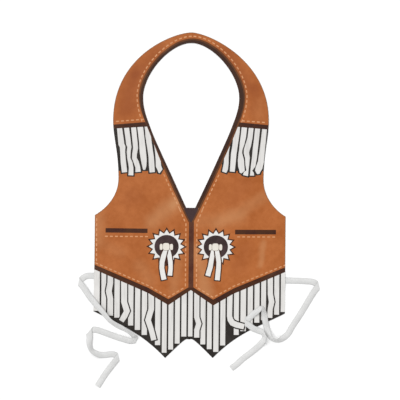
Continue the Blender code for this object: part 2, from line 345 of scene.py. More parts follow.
# The heights between which this fringe hides the neck's seam
FRINGE_TOP = 138.0
FRINGE_FOOT = 41.0

# The printed pocket welts, and the seams under them and down the left side
POCKETS = [
    [(-161.0, -63.4), (-82.2, -63.8), (-82.2, -72.0), (-161.0, -71.8)],
    [(82.0, -64.4), (158.8, -64.0), (158.8, -72.6), (82.0, -73.2)],
]
POCKET_SEAMS = [[(-164, -78.8), (-81, -78.6)], [(84, -77.8), (161, -77.4)]]
SIDE_SEAM = [(-178.0, -43.0), (-177.5, -129.0)]

# The round ornaments: a dark disc in a toothed white rim, as half widths and half heights, with a small bow
# in three parts (middle, width and height) and two tails (middles and widths from the top down)
ORNAMENT_X = 46.2
ORNAMENT_Y = -97.1
DISC = (22.8, 21.8)
RIM = (25.7, 24.5)
TEETH = (33.4, 31.6)
TOOTH_COUNT = 16
LEFT_TAILS = [
    [(4.1, -5.0, 5.3), (5.6, -17.8, 8.4), (7.5, -29.1, 8.4), (7.9, -40.4, 7.9), (6.6, -54.4, 8.6)],
    [
        (-1.3, -5.0, 6.8), (-5.1, -16.0, 9.2), (-8.3, -29.1, 9.2), (-8.6, -40.4, 8.9),
        (-7.1, -49.7, 9.2), (-4.3, -62.1, 9.4),
    ],
]
RIGHT_TAILS = [
    [(-5.1, -4.6, 6.4), (-6.8, -16.9, 8.4), (-8.6, -28.2, 8.8), (-10.1, -37.5, 9.2), (-14.8, -54.4, 9.2)],
    [(1.5, -4.6, 7.5), (3.9, -16.9, 8.6), (5.6, -28.2, 8.3), (5.3, -39.4, 8.6), (3.2, -62.3, 9.2)],
]
BOW = [(-10.1, -0.6, 5.6, 11.4), (9.0, -0.6, 6.0, 11.4), (-0.8, -0.2, 12.6, 13.8)]
BOW_CORNER = 0.6

# The dark lines round an ornament's parts, and the foot of the dark ground between its tails
BOW_LINE = 1.2
TAIL_LINE = 2.2
TEETH_LINE = 3.0
TIP_LINE = 5.0
FORK_FOOT = -37.0

# Painted sheen highlights on the printed leather, and where it is darker: soft streaks with two ends, a
# reach from the middle and a strength
Streak = namedtuple("Streak", "ax ay bx by reach strength")
SHEEN_HIGHLIGHT_STREAKS = [
    Streak(-70, -50, -27, -12, 27, 0.36),
    Streak(-34, -18, -28, -14, 15, 0.25),
    Streak(52, -54, 136, -4, 19, 0.22),
    Streak(19, -50, 94, -40, 24, 0.18),
    Streak(137, -88, 131, -132, 10, 0.32),
    Streak(-22, -86, -29, -175, 21, 0.26),
    Streak(15, -104, 30, -182, 25, 0.42),
    Streak(-175, -40, -173, -88, 24, 0.26),
    Streak(-150, -99, -127, -108, 18, 0.12),
    Streak(-94, -132, -74, -160, 22, 0.18),
    Streak(130, 172, 128, 148, 22, 0.1),
]
DARK_STREAKS = [
    Streak(-120, 160, -108, 222, 34, 0.55),
    Streak(-104, 226, -60, 268, 22, 0.35),
    Streak(112, 200, 60, 272, 26, 0.5),
    Streak(124, 194, 116, 162, 20, 0.25),
    Streak(-112, -3, -104, -6, 28, 0.2),
    Streak(103, 20, 78, -9, 30, 0.2),
    Streak(104, -102, 90, -131, 28, 0.25),
]
STREAK_WOBBLE = 14.0
STREAK_LIMIT = 0.8
# The colour of the painted sheen highlights, then that of the darker streaks
SHEEN_HIGHLIGHT_TONE = (212, 156, 110)
DARK_TONE = (150, 80, 46)

# The two tones between which each ink drifts, as they show under the scene's light, from 0 to 255
INK_TONES = {
    "edge ink": ((146, 96, 62), (162, 110, 74)),
    "black ink": ((48, 45, 43), (62, 58, 55)),
    "brown ink": ((64, 42, 20), (85, 55, 27)),
    "binding ink": ((94, 58, 36), (116, 74, 47)),
    "lining ink": ((62, 44, 36), (78, 55, 44)),
    "placket ink": ((84, 50, 42), (104, 70, 54)),
    "vee ink": ((66, 52, 54), (76, 60, 60)),
    "pocket ink": ((70, 42, 28), (84, 55, 39)),
    "disc ink": ((58, 48, 46), (84, 67, 69)),
    "white ink": ((241, 239, 236), (231, 229, 225)),
    "cream ink": ((240, 235, 224), (229, 222, 210)),
    "stitch ink": ((223, 164, 121), (208, 148, 105)),
    "film back": ((236, 236, 234), (230, 230, 228)),
}
LEATHER_TONES = ((171, 97, 51), (189, 113, 65))
STRIP_TONES = ((234, 232, 229), (227, 225, 222))
STRIP_SHADE = (168, 165, 162)
TAPE_TONES = ((236, 236, 235), (229, 229, 228))
# At the tape's edges: the firmer selvedge, painted darker as shade
SELVEDGE_SHADE_TONE = (190, 190, 189)

# The film's face and the tape's weave. Scales are in the shaders' own units, and bumps are a strength and a
# depth in metres.
PATCH_SCALE = 18.0
CLOUD_SCALE = 90.0
CLOUD_SHARE = 0.5
FILM_ROUGHNESS = 0.45
FILM_SPECULAR = 0.2
FILM_BUMP = (0.12, 0.0004)
WARP_PITCH = 0.75
WEFT_PITCH = 0.55
TAPE_BUMP = (0.5, 0.00015)

# A line across a tape: its run, place, direction, half length, tilt and arch, how far round a fold it is and
# away from what, and which side is up
Row = namedtuple("Row", "run x y ruling reach tilt arch bend away side")

# A flat shape of the print. The first two are the sheet itself and its neck hole.
Shape = namedtuple("Shape", "ink outline")
SHEET, HOLE = 0, 1


def smooth(t):
    t = min(max(t, 0.0), 1.0)
    return t * t * (3 - 2 * t)


def unit(x, y):
    length = hypot(x, y)
    return x / length, y / length


def edge_curve(knots):
    """Points down one half of an edge, evenly placed along each stretch between two knots"""
    points = [(knots[0].x, knots[0].y)]
    for a, b in zip(knots, knots[1:]):
        out, back = radians(a.heading_out), radians(b.heading_in)
        handle_a = a.x + a.pull_out * cos(out), a.y + a.pull_out * sin(out)
        handle_b = b.x - b.pull_in * cos(back), b.y - b.pull_in * sin(back)
        steps = max(1, ceil(hypot(b.x - a.x, b.y - a.y) / EDGE_STEP))
        if a.pull_out == 0 and b.pull_in == 0:
            handle_a = a.x + (b.x - a.x) / 3, a.y + (b.y - a.y) / 3
            handle_b = b.x - (b.x - a.x) / 3, b.y - (b.y - a.y) / 3
        for i in range(1, steps + 1):
            t = i / steps
            weights = (1 - t) ** 3, 3 * (1 - t) ** 2 * t, 3 * (1 - t) * t * t, t**3
            corners = (a.x, a.y), handle_a, handle_b, (b.x, b.y)
            points.append(tuple(sum(w * c[k] for w, c in zip(weights, corners)) for k in (0, 1)))
    return points


def mirrored(points):
    return [(-x, y) for x, y in reversed(points)]


def whole_edge(right, left):
    """The closed edge from the tables of its two halves"""
    return edge_curve(right) + mirrored(edge_curve(left)[1:-1])


def neck_hole():
    """The neck's edge as it lies: drawn in a little at its sides, and leaning to the right at its foot"""
    loop = []
    for x, y in whole_edge(NECK_EDGE, NECK_EDGE):
        drawn = x * (1 - NECK_DRAW * smooth(1 - abs(y - NECK_MIDDLE) / NECK_REACH))
        loop.append((drawn + NECK_LEAN * smooth((LEAN_TOP - y) / LEAN_REACH), y))
    return loop


def inside(x, y, loop):
    within = False
    for (ax, ay), (bx, by) in zip(loop, loop[1:] + loop[:1]):
        if (ay > y) != (by > y) and x < ax + (y - ay) * (bx - ax) / (by - ay):
            within = not within
    return within


def distance(x, y, ax, ay, bx, by):
    """How far a point is from the stretch between two others"""
    dx, dy = bx - ax, by - ay
    t = ((x - ax) * dx + (y - ay) * dy) / (dx * dx + dy * dy)
    t = min(max(t, 0.0), 1.0)
    return hypot(x - ax - t * dx, y - ay - t * dy)


def edge_distance(x, y, loop):
    return min(distance(x, y, *a, *b) for a, b in zip(loop, loop[1:] + loop[:1]))


def film_height(x, y):
    """How high the sheet's underside lies: over the tapes' ends, and in its own slight waves"""
    highest = 0.0
    for runs in (LEFT_RUNS, RIGHT_RUNS):
        far = distance(x, y, *runs[0][0], *runs[0][2]) - TAPE_WIDTH / 2 - RISE_MARGIN
        highest = max(highest, RISE * smooth(1 - far / RISE_SLOPE))
    broad = sin(x / BROAD_WAVE[0] + 0.8) * cos(y / BROAD_WAVE[1] + 0.5)
    askew = cos(x / ASKEW_WAVE[0] - y / ASKEW_WAVE[1] + 1.9)
    return FILM_LIFT + highest + WAVE * (2 + broad + askew) / 4


# Camera, light and floor


def add_camera():
    away = LENS / SENSOR * VIEW_WIDTH
    bpy.ops.object.camera_add(location=(*VIEW_MIDDLE, away), rotation=(0.0, 0.0, radians(VIEW_TURN)))
    camera = bpy.context.object
    camera.name = "camera"
    camera.data.lens = LENS
    camera.data.sensor_width = SENSOR
    camera.data.clip_start = VIEW_NEAR
    bpy.context.scene.camera = camera


def add_light():
    world = bpy.data.worlds.new("studio")
    world.use_nodes = True
    sky = world.node_tree.nodes["Background"]
    sky.inputs["Color"].default_value = (1.0, 1.0, 1.0, 1.0)
    sky.inputs["Strength"].default_value = SKY_STRENGTH
    bpy.context.scene.world = world
    bpy.ops.object.light_add(type="SUN", location=KEY_PLACE)
    key = bpy.context.object
    key.name = "soft key"
    key.data.angle = radians(KEY_SPREAD)
    key.data.energy = KEY_POWER
    key.rotation_euler = (-Vector(KEY_PLACE)).to_track_quat("-Z", "Y").to_euler()


def add_floor():
    bpy.ops.object.select_all(action="DESELECT")
    bpy.ops.mesh.primitive_plane_add(size=FLOOR_SIZE, location=(0.0, 0.0, 0.0))
    floor = bpy.context.object
    floor.name = "floor"
    material, _, shader = new_material("white floor")
    shader.inputs["Base Color"].default_value = FLOOR_WHITE
    shader.inputs["Roughness"].default_value = 0.9
    shader.inputs["Specular IOR Level"].default_value = 0.1
    floor.data.materials.append(material)


# The tapes


def smooth_path(points, step):
    """Points about a step apart on a smooth curve through the given ones"""
    ways = [unit(bx - ax, by - ay) for (ax, ay), (bx, by) in zip(points, points[1:])]
    headings = [ways[0]] + [unit(a[0] + b[0], a[1] + b[1]) for a, b in zip(ways, ways[1:])] + [ways[-1]]
    path, marks = [points[0]], [0]
    for (ax, ay), (bx, by), start, end in zip(points, points[1:], headings, headings[1:]):
        chord = hypot(bx - ax, by - ay)
        steps = max(1, round(chord / step))
        for i in range(1, steps + 1):
            t = i / steps
            from_a, from_b = (1 + 2 * t) * (1 - t) ** 2, t * t * (3 - 2 * t)
            off_a, off_b = t * (1 - t) ** 2 * chord, t * t * (t - 1) * chord
            path.append(
                (
                    from_a * ax + from_b * bx + off_a * start[0] + off_b * end[0],
                    from_a * ay + from_b * by + off_a * start[1] + off_b * end[1],
                )
            )
        marks.append(len(path) - 1)
    return path, marks


def near_folds(square, arch, folds):
    """A line across the tape, turned to a fold's own line near it, and the tape's arch, flat near a fold"""
    ruling = square
    for line, far in folds:
        if line:
            sign = 1 if line[0] * square[0] + line[1] * square[1] > 0 else -1
            part = smooth(1 - far / FOLD_BLEND)
            arch *= 1 - part
            ruling = unit(
                ruling[0] * (1 - part) + sign * line[0] * part,
                ruling[1] * (1 - part) + sign * line[1] * part,
            )
    return ruling, arch


def fold_rows(row, came, line):
    """The rows that go round a fold after this row, and the place where the tape leaves it"""
    along = came[0] * line[0] + came[1] * line[1]
    away = unit(came[0] - along * line[0], came[1] - along * line[1])
    slide = FOLD_RADIUS * along / (came[0] * away[0] + came[1] * away[1])
    rows = []
    for step in range(1, FOLD_STEPS):
        bend = pi * step / FOLD_STEPS
        out = FOLD_RADIUS * sin(bend)
        x = row.x + slide * bend * line[0] + out * away[0]
        y = row.y + slide * bend * line[1] + out * away[1]
        rows.append(row._replace(x=x, y=y, bend=bend, away=away))
    return rows, (row.x + slide * pi * line[0], row.y + slide * pi * line[1])


def tape_rows(runs, curls):
    """The lines across the tape, from its fixed end to its free end, as it lies seen from above"""
    rows, side, start, fold_in = [], 1, runs[0][0], None
    for k, run in enumerate(runs):
        path, marks = smooth_path([start] + run[1:], TAPE_STEP)
        walked = [0.0]
        for a, b in zip(path, path[1:]):
            walked.append(walked[-1] + hypot(b[0] - a[0], b[1] - a[1]))
        fold_out = None
        if k + 1 < len(runs):
            came = unit(path[-1][0] - path[-2][0], path[-1][1] - path[-2][1])
            leaves = unit(runs[k + 1][1][0] - run[-1][0], runs[k + 1][1][1] - run[-1][1])
            fold_out = unit(came[0] + leaves[0], came[1] + leaves[1])
        for i, (x, y) in enumerate(path):
            before, after = path[max(i - 1, 0)], path[min(i + 1, len(path) - 1)]
            tx, ty = unit(after[0] - before[0], after[1] - before[1])
            folds = (fold_in, walked[i]), (fold_out, walked[-1] - walked[i])
            arch = TAPE_ARCH * (smooth(walked[i] / ARCH_START) if k == 0 else 1)
            ruling, arch = near_folds((-ty * side, tx * side), arch, folds)
            reach = TAPE_WIDTH / 2 / abs(tx * ruling[1] - ty * ruling[0])
            tilt = 0.0
            for curl in curls:
                if curl.run == k:
                    far = abs(walked[i] - walked[marks[curl.point]])
                    tilt += radians(curl.tilt) * smooth(1 - far / curl.spread)
            rows.append(Row(k, x, y, ruling, reach, tilt, arch, 0.0, (0.0, 0.0), side))
        if fold_out:
            turned, start = fold_rows(rows[-1], came, fold_out)
            rows += turned
            fold_in, side = fold_out, -side
    return rows


def spots_of(row):
    """The places across the tape on one row, seen from above"""
    reach = row.reach * cos(row.tilt)
    return [(row.x + j * reach * row.ruling[0], row.y + j * reach * row.ruling[1]) for j in ACROSS]


def ground_height(film_tree, x, y):
    """The middle of a tape that lies at this place, on the floor or on the sheet"""
    height = FLOOR_GAP
    for dx, dy in ((0, 0), (EDGE_MARGIN, 0), (-EDGE_MARGIN, 0), (0, EDGE_MARGIN), (0, -EDGE_MARGIN)):
        hit = film_tree.ray_cast(Vector((x + dx, y + dy, ABOVE_ALL)), Vector((0, 0, -1)))[0]
        if hit:
            height = max(height, hit.z + GAP)
    return height + TAPE_WALL / 2


def support_of(row, film_tree, laid, below):
    """How high the tape's middle rests at each place of a row: over the floor, the sheet or its own runs"""
    line = []
    for x, y in spots_of(row):
        rest = FLOOR_GAP + TAPE_WALL / 2 if row.run == 0 else ground_height(film_tree, x, y)
        for _, index, _ in below.find_range((x, y, 0.0), UNDER_REACH):
            rest = max(rest, laid[index][2] + TAPE_WALL + GAP)
        line.append(rest)
    return line


def eased(support, start):
    """The heights of a run that leaves the last fold at its start, and lies taut over what supports it"""
    heights = [list(line) for line in support]
    if start:
        heights[0] = start
    for _ in range(EASE_PASSES):
        for i in range(1, len(heights)):
            after = min(i + 1, len(heights) - 1)
            for j in range(len(ACROSS)):
                mean = (heights[i - 1][j] + heights[after][j]) / 2
                heights[i][j] = max(support[i][j], mean)
    return heights


def tape_heights(rows, film_tree):
    """The height of the tape's middle at each place of each row: each run lies on what is under it"""
    heights, laid, start = [], [], None
    for _, run_rows in groupby(rows, key=lambda row: row.run):
        run_rows = list(run_rows)
        below = KDTree(len(laid))
        for index, (x, y, _) in enumerate(laid):
            below.insert((x, y, 0.0), index)
        below.balance()
        flat = [row for row in run_rows if row.bend == 0]
        support = [support_of(row, film_tree, laid, below) for row in flat]
        for row, line in zip(flat, eased(support, start)):
            lift = TAPE_WIDTH / 2 * sin(row.tilt)
            heights.append([z + abs(lift) + lift * j + row.arch * (1 - j * j) for z, j in zip(line, ACROSS)])
            laid += [(x, y, z) for (x, y), z in zip(spots_of(row), heights[-1])]
        fold_base = heights[-1]
        for row in run_rows[len(flat) :]:
            lift = FOLD_RADIUS * (1 - cos(row.bend))
            heights.append([z + lift for z in fold_base])
        start = [z + 2 * FOLD_RADIUS for z in fold_base]
    return heights


def add_tape(name, runs, curls, film_tree, material):
    """A tape with a map for its weave, the line along its middle, and its length"""
    rows = tape_rows(runs, curls)
    points, middles = [], []
    for row, heights in zip(rows, tape_heights(rows, film_tree)):
        flat_part, edge_part = sin(row.bend), sin(row.tilt)
        normal = Vector(
            (
                -flat_part * row.away[0] - edge_part * row.ruling[0],
                -flat_part * row.away[1] - edge_part * row.ruling[1],
                cos(row.bend) * cos(row.tilt),
            )
        )
        middle = [Vector((x, y, z)) for (x, y), z in zip(spots_of(row), heights)]
        walls = [row.side * TAPE_WALL / 2 * (TAPE_LIP if abs(j) == 1 else 1) for j in ACROSS]
        points += [p + wall * normal for p, wall in zip(middle, walls)]
        points += [p - wall * normal for p, wall in reversed(list(zip(middle, walls)))]
        middles.append(middle[len(ACROSS) // 2])
    walked = [0.0]
    for a, b in zip(middles, middles[1:]):
        walked.append(walked[-1] + (b - a).length)
    ring, faces = 2 * len(ACROSS), []
    for i in range(len(rows) - 1):
        for j in range(ring):
            a, b = i * ring + j, i * ring + (j + 1) % ring
            faces.append((a, b, b + ring, a + ring))
    faces.append(tuple(reversed(range(ring))))
    faces.append(tuple(range(len(points) - ring, len(points))))
    mesh = bpy.data.meshes.new(name)
    mesh.from_pydata([p * MM for p in points], [], faces)
    weave = mesh.uv_layers.new(name="weave")
    columns = ACROSS + tuple(reversed(ACROSS))
    for corner in mesh.loops:
        row, column = divmod(corner.vertex_index, ring)
        weave.data[corner.index].uv = (columns[column] + 1) * TAPE_WIDTH / 2 * MM, walked[row] * MM
    face_outwards(mesh)
    mesh.materials.append(material)
    tape = add_object(name, mesh)
    bpy.ops.object.shade_smooth_by_angle(angle=SMOOTH_ANGLE)
    return tape, [p * MM for p in middles], walked[-1] * MM


def face_outwards(mesh):
    shape = bmesh.new()
    shape.from_mesh(mesh)
    bmesh.ops.recalc_face_normals(shape, faces=shape.faces)
    if shape.calc_volume(signed=True) < 0:
        bmesh.ops.reverse_faces(shape, faces=shape.faces)
    shape.to_mesh(mesh)
    shape.free()


def add_object(name, mesh):
    """A mesh as an object at the origin, the only one selected"""
    piece = bpy.data.objects.new(name, mesh)
    bpy.context.scene.collection.objects.link(piece)
    bpy.ops.object.select_all(action="DESELECT")
    piece.select_set(True)
    bpy.context.view_layer.objects.active = piece
    return piece


# The print's shapes


def band(rows, extra=0.0, foot=0.0):
    """A strip's outline from its rows of middle and width, wider by extra at each side, longer by foot"""
    left, right, last = [], [], len(rows) - 1
    for i, (x, y, width) in enumerate(rows):
        before, after = rows[max(i - 1, 0)], rows[min(i + 1, last)]
        ax, ay = unit(after[0] - before[0], after[1] - before[1])
        half = width / 2 + extra
        end = foot if i == last else 0.0
        left.append((x - ay * half + ax * end, y + ax * half + ay * end))
        right.append((x + ay * half + ax * end, y - ax * half + ay * end))
    return left + right[::-1]


def hem_level(levels, x):
    """The height of a line of the hem's band above or below this place"""
    x = abs(x)
    i = max(i for i in range(len(HEM_X) - 1) if x >= HEM_X[i])
    part = (x - HEM_X[i]) / (HEM_X[i + 1] - HEM_X[i])
    return levels[i] + part * (levels[i + 1] - levels[i])


def hem_line(levels):
    half = list(zip(HEM_X, levels))
    return mirrored(half[1:]) + half


def ellipse(x, y, width, height, count, power=1.0):
    """An ellipse, or a box with round corners where the power is under one"""

    def push(value):
        return copysign(abs(value) ** power, value)

    spots = [2 * pi * (i + 0.5) / count for i in range(count)]
    return [(x + width / 2 * push(cos(a)), y + height / 2 * push(sin(a))) for a in spots]


def star(x, y, tip_line=0.0, line=0.0):
    """The ornament's toothed rim, one tooth at the top, made wider by a line at its tips and its valleys"""
    outline = []
    for i in range(2 * TOOTH_COUNT):
        angle = pi / 2 + pi * i / TOOTH_COUNT
        (across, up), grow = (RIM, line) if i % 2 else (TEETH, tip_line)
        outline.append((x + (across + grow) * cos(angle), y + (up + grow) * sin(angle)))
    return outline


def beside_neck(far, dip=NO_DIP):
    """The right half of a line this far outside the neck's edge, less a dip, down to the edge's foot"""
    half, line = edge_curve(NECK_EDGE[:-1]), []
    for i, (x, y) in enumerate(half):
        before, after = half[max(i - 1, 0)], half[min(i + 1, len(half) - 1)]
        ax, ay = unit(after[0] - before[0], after[1] - before[1])
        out = far - dip.depth * smooth(1 - abs(y - dip.height) / dip.reach)
        line.append((x - ay * out, y + ax * out))
    line[0] = (-HALVES_OVERLAP, line[0][1])
    (ax, ay), (bx, by) = line[-2:]
    foot = NECK_EDGE[-1].y
    line.append((bx + (foot - by) * (bx - ax) / (by - ay), foot))
    return line


def stitches(path, hidden=None):
    """Short dashes at an even pitch along a path, but none at the heights where they are hidden"""
    dashes, walked, due = [], 0.0, STITCH_PITCH / 2
    for (ax, ay), (bx, by) in zip(path, path[1:]):
        length = hypot(bx - ax, by - ay)
        if length == 0:
            continue
        along = (bx - ax) / length, (by - ay) / length
        while due <= walked + length:
            x, y = ax + along[0] * (due - walked), ay + along[1] * (due - walked)
            due += STITCH_PITCH
            if not (hidden and hidden(y)):
                ends = [(x + s * along[0] * STITCH / 2, y + s * along[1] * STITCH / 2) for s in (-1, 1)]
                dashes.append(band([(*end, STITCH_WIDTH) for end in ends]))
        walked += length
    return dashes


def shapes_of_print(outer):
    """The print on a sheet with this outer edge, as shapes in the order they are painted"""
    shapes = []

    def paint(ink, outline, shift=PRINT_SHIFT):
        shapes.append(Shape(ink, [(x + shift, y) for x, y in outline]))

    paint("leather", inset(outer), 0)
    for ground in SHOULDER_GROUNDS:
        paint("black ink", ground)
    for rows in SHOULDER_STRIPS:
        paint("black ink", band(rows, STRIP_LINE, STRIP_LINE))
    for rows in SHOULDER_STRIPS:
        paint("pale strip", band(rows, -STRIP_TRIM))
    for outline in SHOULDER_BANDS:
        paint("brown ink", outline)
    paint_hem(paint, outer)

    sides = (-PLACKET, PLACKET)
    paint("placket ink", [(x, PLACKET_HEAD) for x in sides] + [(x, PLACKET_FOOT) for x in reversed(sides)])
    inner, middle = beside_neck(LINING_INNER), beside_neck(LINING_OUTER)
    vee = [(middle[-1][0], VEE_TOP), (PLACKET, PLACKET_TOP)]
    paint("vee ink", vee + mirrored(vee), NECK_SHIFT)
    point = [(PLACKET, PLACKET_TOP), (VEE_POINT, PLACKET_TOP)]
    for flip, dip in ((1, RIGHT_DIP), (-1, LEFT_DIP)):
        edge = beside_neck(BINDING, dip) + point
        paint("binding ink", [(flip * x, y) for x, y in edge + middle[::-1]], NECK_SHIFT)
        paint("lining ink", [(flip * x, y) for x, y in middle + inner[::-1]], NECK_SHIFT)

    for outline in POCKETS:
        paint("pocket ink", outline)
    for flip, tails in ((-1, LEFT_TAILS), (1, RIGHT_TAILS)):
        paint_ornament(paint, flip * ORNAMENT_X, ORNAMENT_Y, tails)

    hem_seam = [(x, hem_level(HEM_TOP, x) + HEM_SEAM_UP) for x in (HEM_SEAM_START, *HEM_X[1:])]
    for path in [hem_seam, mirrored(hem_seam), SIDE_SEAM] + SHOULDER_SEAMS + POCKET_SEAMS:
        for outline in stitches(path):
            paint("stitch ink", outline)
    for flip in (1, -1):
        seam = [(flip * x + NECK_SHIFT, y) for x, y in beside_neck(NECK_SEAM, SEAM_DIP)]
        seam += [(flip * FRONT_SEAM + PRINT_SHIFT, y) for y in (FRONT_SEAM_TOP, FRONT_SEAM_FOOT)]
        for outline in stitches(seam, lambda y: FRINGE_FOOT < y < FRINGE_TOP):
            paint("stitch ink", outline, 0)
    return shapes


def inset(outer):
    """The sheet's outer edge, drawn in by the darker line along it"""
    line = []
    for i, (x, y) in enumerate(outer):
        (ax, ay), (bx, by) = outer[i - 1], outer[(i + 1) % len(outer)]
        tx, ty = unit(bx - ax, by - ay)
        line.append((x + ty * EDGE_LINE, y - tx * EDGE_LINE))
    return line


def paint_hem(paint, outer):
    """The hem's fringe, straight strips first and then the kinked ones, under its band"""
    hem_middle = [(top + foot) / 2 for top, foot in zip(HEM_TOP, HEM_FOOT)]
    paint("black ink", hem_line(hem_middle) + FRINGE_CORNERS)
    sides = [-WIDEST] + STRIP_SIDES + [WIDEST]
    lower_edge = [(x - PRINT_SHIFT, y) for x, y in outer if y <= SIDE_FOOT]
    for k, (left, right) in enumerate(zip(sides, sides[1:])):
        if k in KINKED_STRIPS:
            continue
        beside = [y for x, y in lower_edge if left + FOOT_WINDOW < x < right - FOOT_WINDOW]
        left, right = left + STRIP_GAP / 2, right - STRIP_GAP / 2
        foot = max(beside) + STRIP_MARGIN + FOOT_OFF.get(k, 0.0)
        head = hem_level(hem_middle, (left + right) / 2)
        paint("pale strip", [(left, head), (right, head), (right, foot), (left, foot)])
    for rows in KINKED_STRIPS.values():
        x, _, width = rows[0]
        rows = [(x, hem_level(hem_middle, x), width)] + rows[1:]
        paint("black ink", band(rows, STRIP_LINE, STRIP_LINE))
        paint("pale strip", band(rows))
    paint("brown ink", hem_line(HEM_TOP) + hem_line(HEM_FOOT)[::-1])


def paint_ornament(paint, x, y, tails):
    """A round ornament with its middle here, each part on a dark one that shows as a line round it"""
    paint("brown ink", star(x, y, TIP_LINE, TEETH_LINE))
    paint("white ink", star(x, y))
    paint("disc ink", ellipse(x, y, 2 * DISC[0], 2 * DISC[1], DISC_SIDES))
    one, other = tails
    fork = one[1:3] + [(one[2][0] / 2 + other[2][0] / 2, FORK_FOOT, 0)] + other[2:0:-1]
    paint("brown ink", [(x + a, y + b) for a, b, _ in fork])
    for rows in tails:
        tail = [(x + a, y + b, width) for a, b, width in rows]
        paint("brown ink", band(tail, TAIL_LINE, TAIL_LINE))
        paint("white ink", band(tail))
    for dx, dy, width, height in BOW:
        around = width + BOW_LINE, height + BOW_LINE
        paint("brown ink", ellipse(x + dx, y + dy, *around, BOW_SIDES, BOW_CORNER))
        paint("cream ink", ellipse(x + dx, y + dy, width, height, BOW_SIDES, BOW_CORNER))


# The sheet


def grid_points(outer, neck):
    """Points in a staggered grid over the sheet, clear of its edges"""
    points = []
    across, up = (int(reach / GRID_STEP) for reach in GRID_REACH)
    for i in range(-across, across + 1):
        for j in range(-up, up + 1):
            x, y = (i + 0.5 * (j % 2)) * GRID_STEP, j * GRID_STEP
            if inside(x, y, outer) and not inside(x, y, neck):
                if min(edge_distance(x, y, outer), edge_distance(x, y, neck)) > GRID_STEP / 2:
                    points.append((x, y))
    return points


def signed_area(loop):
    """The area in a closed line, below zero where the line runs clockwise"""
    return sum(ax * by - bx * ay for (ax, ay), (bx, by) in zip(loop, loop[1:] + loop[:1])) / 2


def divide_face(shapes, filling):
    """Flat triangles that follow every outline: their points, their corners and the ink on top of each"""
    points, faces = [], []
    for shape in shapes:
        face = list(range(len(points), len(points) + len(shape.outline)))
        faces.append(face if signed_area(shape.outline) > 0 else face[::-1])
        points += shape.outline
    divided = delaunay_2d_cdt([Vector(p) for p in points + filling], [], faces, 0, SAME_POINT)
    flat_points, _, cells, _, _, covered_by = divided
    triangles, printed = [], []
    for corners, sources in zip(cells, covered_by):
        if SHEET in sources and HOLE not in sources:
            triangles.append(tuple(corners))
            printed.append(shapes[max(sources)].ink)
    return flat_points, triangles, printed


def add_film(inks):
    """The sheet and the area of its face: printed side up, then given its wall and its plain back"""
    outer, neck = whole_edge(RIGHT_EDGE, LEFT_EDGE), neck_hole()
    shapes = [Shape("edge ink", outer), Shape(None, neck)] + shapes_of_print(outer)
    points, triangles, printed = divide_face(shapes, grid_points(outer, neck))
    names = sorted(set(printed))
    mesh = bpy.data.meshes.new("vest_film")
    mesh.from_pydata([(x * MM, y * MM, (film_height(x, y) + FILM) * MM) for x, y in points], [], triangles)
    mesh.polygons.foreach_set("material_index", [names.index(ink) for ink in printed])
    area = sum(polygon.area for polygon in mesh.polygons)
    for name in names + ["film back"]:
        mesh.materials.append(inks[name])
    film = add_object("vest_film", mesh)
    bpy.ops.object.mode_set(mode="EDIT")
    bpy.ops.mesh.select_all(action="SELECT")
    bpy.ops.mesh.delete_loose()
    bpy.ops.mesh.select_all(action="SELECT")
    bpy.ops.mesh.normals_make_consistent(inside=False)
    bpy.ops.object.mode_set(mode="OBJECT")
    if sum(polygon.normal.z for polygon in mesh.polygons) < 0:
        mesh.flip_normals()
    bpy.ops.object.modifier_add(type="SOLIDIFY")
    wall = film.modifiers[0]
    wall.thickness = FILM * MM
    wall.offset = -1.0
    # A number past the last material gives the back and the rim that last one, the film's back.
    past_inks = len(names) + 1
    wall.material_offset = past_inks
    wall.material_offset_rim = past_inks
    bpy.ops.object.modifier_apply(modifier=wall.name)
    bpy.ops.object.shade_smooth_by_angle(angle=SMOOTH_ANGLE)
    return film, area


# Finishes


def paint_of(red, green, blue):
    """The colour that shows as these three values, from 0 to 255, under the scene's light"""
    shown = [((value / 255 + 0.055) / 1.055) ** 2.4 for value in (red, green, blue)]
    return [max(value - GLOSS, DARKEST) / BRIGHTNESS for value in shown] + [1.0]


def new_material(name):
    """A material, its tree and its shader"""
    material = bpy.data.materials.new(name)
    material.use_nodes = True
    return material, material.node_tree, material.node_tree.nodes["Principled BSDF"]


def add_bump(tree, shader, height, strength, depth):
    bump = tree.nodes.new("ShaderNodeBump")
    bump.inputs["Strength"].default_value = strength
    bump.inputs["Distance"].default_value = depth
    tree.links.new(height, bump.inputs["Height"])
    tree.links.new(bump.outputs["Normal"], shader.inputs["Normal"])


def new_group(name, inputs, outputs):
    """A shader node group with these sockets, its input node and its output node"""
    tree = bpy.data.node_groups.new(name, "ShaderNodeTree")
    for label, kind, value in inputs:
        socket = tree.interface.new_socket(label, in_out="INPUT", socket_type=kind)
        socket.default_value = value
    for label, kind in outputs:
        tree.interface.new_socket(label, in_out="OUTPUT", socket_type=kind)
    return tree, tree.nodes.new("NodeGroupInput"), tree.nodes.new("NodeGroupOutput")


def math_node(tree, operation, *values):
    """A Math node, with each value a number or an output to link"""
    node = tree.nodes.new("ShaderNodeMath")
    node.operation = operation
    for socket, value in zip(node.inputs, values):
        if isinstance(value, (int, float)):
            socket.default_value = value
        else:
            tree.links.new(value, socket)
    return node.outputs[0]


def vector_node(tree, operation, first, second, output="Vector"):
    """A Vector Math node, with each value a vector or an output to link"""
    node = tree.nodes.new("ShaderNodeVectorMath")
    node.operation = operation
    for socket, value in zip(node.inputs, (first, second)):
        if isinstance(value, tuple):
            socket.default_value = value
        else:
            tree.links.new(value, socket)
    return node.outputs[output]


def noise_node(tree, place, scale, detail, roughness=0.5):
    node = tree.nodes.new("ShaderNodeTexNoise")
    tree.links.new(place, node.inputs["Vector"])
    node.inputs["Detail"].default_value = detail
    node.inputs["Roughness"].default_value = roughness
    if isinstance(scale, (int, float)):
        node.inputs["Scale"].default_value = scale
    else:
        tree.links.new(scale, node.inputs["Scale"])
    return node.outputs["Fac"]


